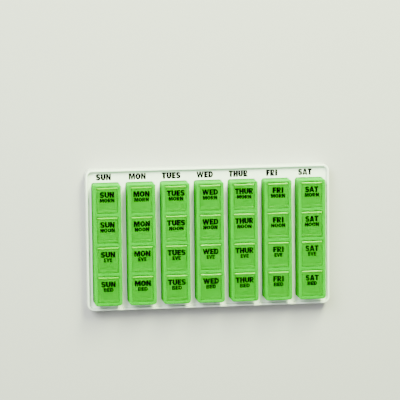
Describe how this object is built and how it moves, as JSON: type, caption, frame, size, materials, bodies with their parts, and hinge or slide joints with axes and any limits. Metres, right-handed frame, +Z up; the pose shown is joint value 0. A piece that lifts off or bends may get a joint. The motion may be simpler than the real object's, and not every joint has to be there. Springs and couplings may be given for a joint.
{
  "type": "weekly pill organizer",
  "caption": "Flat tray with a row of lift-out day boxes, each divided into compartments closed by small hinged lids, for sorting a week of tablets.",
  "frame": {"origin": "middle of the tray's underside, on the surface that it lies on", "axes": "+X from the first day to the last, +Y towards the strip with the days' names, +Z up out of the tray"},
  "size_m": [0.2236, 0.1292, 0.0256],
  "materials": {
    "tray_plastic": "white polypropylene with a fine satin surface",
    "box_plastic": "translucent light green polypropylene, smooth",
    "lid_plastic": "translucent green polypropylene, smooth, with black print"
  },
  "bodies": {
    "tray": {"tray": "tray_plastic"},
    "sunday_box": {"sunday_box": "box_plastic"},
    "sunday_morning_lid": {"sunday_morning_lid": "lid_plastic"},
    "sunday_noon_lid": {"sunday_noon_lid": "lid_plastic"},
    "sunday_evening_lid": {"sunday_evening_lid": "lid_plastic"},
    "sunday_bedtime_lid": {"sunday_bedtime_lid": "lid_plastic"},
    "monday_box": {"monday_box": "box_plastic"},
    "monday_morning_lid": {"monday_morning_lid": "lid_plastic"},
    "monday_noon_lid": {"monday_noon_lid": "lid_plastic"},
    "monday_evening_lid": {"monday_evening_lid": "lid_plastic"},
    "monday_bedtime_lid": {"monday_bedtime_lid": "lid_plastic"},
    "tuesday_box": {"tuesday_box": "box_plastic"},
    "tuesday_morning_lid": {"tuesday_morning_lid": "lid_plastic"},
    "tuesday_noon_lid": {"tuesday_noon_lid": "lid_plastic"},
    "tuesday_evening_lid": {"tuesday_evening_lid": "lid_plastic"},
    "tuesday_bedtime_lid": {"tuesday_bedtime_lid": "lid_plastic"},
    "wednesday_box": {"wednesday_box": "box_plastic"},
    "wednesday_morning_lid": {"wednesday_morning_lid": "lid_plastic"},
    "wednesday_noon_lid": {"wednesday_noon_lid": "lid_plastic"},
    "wednesday_evening_lid": {"wednesday_evening_lid": "lid_plastic"},
    "wednesday_bedtime_lid": {"wednesday_bedtime_lid": "lid_plastic"},
    "thursday_box": {"thursday_box": "box_plastic"},
    "thursday_morning_lid": {"thursday_morning_lid": "lid_plastic"},
    "thursday_noon_lid": {"thursday_noon_lid": "lid_plastic"},
    "thursday_evening_lid": {"thursday_evening_lid": "lid_plastic"},
    "thursday_bedtime_lid": {"thursday_bedtime_lid": "lid_plastic"},
    "friday_box": {"friday_box": "box_plastic"},
    "friday_morning_lid": {"friday_morning_lid": "lid_plastic"},
    "friday_noon_lid": {"friday_noon_lid": "lid_plastic"},
    "friday_evening_lid": {"friday_evening_lid": "lid_plastic"},
    "friday_bedtime_lid": {"friday_bedtime_lid": "lid_plastic"},
    "saturday_box": {"saturday_box": "box_plastic"},
    "saturday_morning_lid": {"saturday_morning_lid": "lid_plastic"},
    "saturday_noon_lid": {"saturday_noon_lid": "lid_plastic"},
    "saturday_evening_lid": {"saturday_evening_lid": "lid_plastic"},
    "saturday_bedtime_lid": {"saturday_bedtime_lid": "lid_plastic"}
  },
  "joints": [
    {"name": "sunday_box_lift", "type": "slide", "parent": "tray", "child": "sunday_box", "axis": [0, 0, 1], "range_m": [0, 0.03]},
    {"name": "sunday_morning_hinge", "type": "hinge", "parent": "sunday_box", "child": "sunday_morning_lid", "pos_m": [-0.0936, 0.04885, 0.02455], "axis": [-1, 0, 0], "range_deg": [0, 115]},
    {"name": "sunday_noon_hinge", "type": "hinge", "parent": "sunday_box", "child": "sunday_noon_lid", "pos_m": [-0.0936, 0.02165, 0.02455], "axis": [-1, 0, 0], "range_deg": [0, 115]},
    {"name": "sunday_evening_hinge", "type": "hinge", "parent": "sunday_box", "child": "sunday_evening_lid", "pos_m": [-0.0936, -0.00555, 0.02455], "axis": [-1, 0, 0], "range_deg": [0, 115]},
    {"name": "sunday_bedtime_hinge", "type": "hinge", "parent": "sunday_box", "child": "sunday_bedtime_lid", "pos_m": [-0.0936, -0.03275, 0.02455], "axis": [-1, 0, 0], "range_deg": [0, 115]},
    {"name": "monday_box_lift", "type": "slide", "parent": "tray", "child": "monday_box", "axis": [0, 0, 1], "range_m": [0, 0.03]},
    {"name": "monday_morning_hinge", "type": "hinge", "parent": "monday_box", "child": "monday_morning_lid", "pos_m": [-0.0624, 0.04885, 0.02455], "axis": [-1, 0, 0], "range_deg": [0, 115]},
    {"name": "monday_noon_hinge", "type": "hinge", "parent": "monday_box", "child": "monday_noon_lid", "pos_m": [-0.0624, 0.02165, 0.02455], "axis": [-1, 0, 0], "range_deg": [0, 115]},
    {"name": "monday_evening_hinge", "type": "hinge", "parent": "monday_box", "child": "monday_evening_lid", "pos_m": [-0.0624, -0.00555, 0.02455], "axis": [-1, 0, 0], "range_deg": [0, 115]},
    {"name": "monday_bedtime_hinge", "type": "hinge", "parent": "monday_box", "child": "monday_bedtime_lid", "pos_m": [-0.0624, -0.03275, 0.02455], "axis": [-1, 0, 0], "range_deg": [0, 115]},
    {"name": "tuesday_box_lift", "type": "slide", "parent": "tray", "child": "tuesday_box", "axis": [0, 0, 1], "range_m": [0, 0.03]},
    {"name": "tuesday_morning_hinge", "type": "hinge", "parent": "tuesday_box", "child": "tuesday_morning_lid", "pos_m": [-0.0312, 0.04885, 0.02455], "axis": [-1, 0, 0], "range_deg": [0, 115]},
    {"name": "tuesday_noon_hinge", "type": "hinge", "parent": "tuesday_box", "child": "tuesday_noon_lid", "pos_m": [-0.0312, 0.02165, 0.02455], "axis": [-1, 0, 0], "range_deg": [0, 115]},
    {"name": "tuesday_evening_hinge", "type": "hinge", "parent": "tuesday_box", "child": "tuesday_evening_lid", "pos_m": [-0.0312, -0.00555, 0.02455], "axis": [-1, 0, 0], "range_deg": [0, 115]},
    {"name": "tuesday_bedtime_hinge", "type": "hinge", "parent": "tuesday_box", "child": "tuesday_bedtime_lid", "pos_m": [-0.0312, -0.03275, 0.02455], "axis": [-1, 0, 0], "range_deg": [0, 115]},
    {"name": "wednesday_box_lift", "type": "slide", "parent": "tray", "child": "wednesday_box", "axis": [0, 0, 1], "range_m": [0, 0.03]},
    {"name": "wednesday_morning_hinge", "type": "hinge", "parent": "wednesday_box", "child": "wednesday_morning_lid", "pos_m": [0, 0.04885, 0.02455], "axis": [-1, 0, 0], "range_deg": [0, 115]},
    {"name": "wednesday_noon_hinge", "type": "hinge", "parent": "wednesday_box", "child": "wednesday_noon_lid", "pos_m": [0, 0.02165, 0.02455], "axis": [-1, 0, 0], "range_deg": [0, 115]},
    {"name": "wednesday_evening_hinge", "type": "hinge", "parent": "wednesday_box", "child": "wednesday_evening_lid", "pos_m": [0, -0.00555, 0.02455], "axis": [-1, 0, 0], "range_deg": [0, 115]},
    {"name": "wednesday_bedtime_hinge", "type": "hinge", "parent": "wednesday_box", "child": "wednesday_bedtime_lid", "pos_m": [0, -0.03275, 0.02455], "axis": [-1, 0, 0], "range_deg": [0, 115]},
    {"name": "thursday_box_lift", "type": "slide", "parent": "tray", "child": "thursday_box", "axis": [0, 0, 1], "range_m": [0, 0.03]},
    {"name": "thursday_morning_hinge", "type": "hinge", "parent": "thursday_box", "child": "thursday_morning_lid", "pos_m": [0.0312, 0.04885, 0.02455], "axis": [-1, 0, 0], "range_deg": [0, 115]},
    {"name": "thursday_noon_hinge", "type": "hinge", "parent": "thursday_box", "child": "thursday_noon_lid", "pos_m": [0.0312, 0.02165, 0.02455], "axis": [-1, 0, 0], "range_deg": [0, 115]},
    {"name": "thursday_evening_hinge", "type": "hinge", "parent": "thursday_box", "child": "thursday_evening_lid", "pos_m": [0.0312, -0.00555, 0.02455], "axis": [-1, 0, 0], "range_deg": [0, 115]},
    {"name": "thursday_bedtime_hinge", "type": "hinge", "parent": "thursday_box", "child": "thursday_bedtime_lid", "pos_m": [0.0312, -0.03275, 0.02455], "axis": [-1, 0, 0], "range_deg": [0, 115]},
    {"name": "friday_box_lift", "type": "slide", "parent": "tray", "child": "friday_box", "axis": [0, 0, 1], "range_m": [0, 0.03]},
    {"name": "friday_morning_hinge", "type": "hinge", "parent": "friday_box", "child": "friday_morning_lid", "pos_m": [0.0624, 0.04885, 0.02455], "axis": [-1, 0, 0], "range_deg": [0, 115]},
    {"name": "friday_noon_hinge", "type": "hinge", "parent": "friday_box", "child": "friday_noon_lid", "pos_m": [0.0624, 0.02165, 0.02455], "axis": [-1, 0, 0], "range_deg": [0, 115]},
    {"name": "friday_evening_hinge", "type": "hinge", "parent": "friday_box", "child": "friday_evening_lid", "pos_m": [0.0624, -0.00555, 0.02455], "axis": [-1, 0, 0], "range_deg": [0, 115]},
    {"name": "friday_bedtime_hinge", "type": "hinge", "parent": "friday_box", "child": "friday_bedtime_lid", "pos_m": [0.0624, -0.03275, 0.02455], "axis": [-1, 0, 0], "range_deg": [0, 115]},
    {"name": "saturday_box_lift", "type": "slide", "parent": "tray", "child": "saturday_box", "axis": [0, 0, 1], "range_m": [0, 0.03]},
    {"name": "saturday_morning_hinge", "type": "hinge", "parent": "saturday_box", "child": "saturday_morning_lid", "pos_m": [0.0936, 0.04885, 0.02455], "axis": [-1, 0, 0], "range_deg": [0, 115]},
    {"name": "saturday_noon_hinge", "type": "hinge", "parent": "saturday_box", "child": "saturday_noon_lid", "pos_m": [0.0936, 0.02165, 0.02455], "axis": [-1, 0, 0], "range_deg": [0, 115]},
    {"name": "saturday_evening_hinge", "type": "hinge", "parent": "saturday_box", "child": "saturday_evening_lid", "pos_m": [0.0936, -0.00555, 0.02455], "axis": [-1, 0, 0], "range_deg": [0, 115]},
    {"name": "saturday_bedtime_hinge", "type": "hinge", "parent": "saturday_box", "child": "saturday_bedtime_lid", "pos_m": [0.0936, -0.03275, 0.02455], "axis": [-1, 0, 0], "range_deg": [0, 115]}
  ]
}
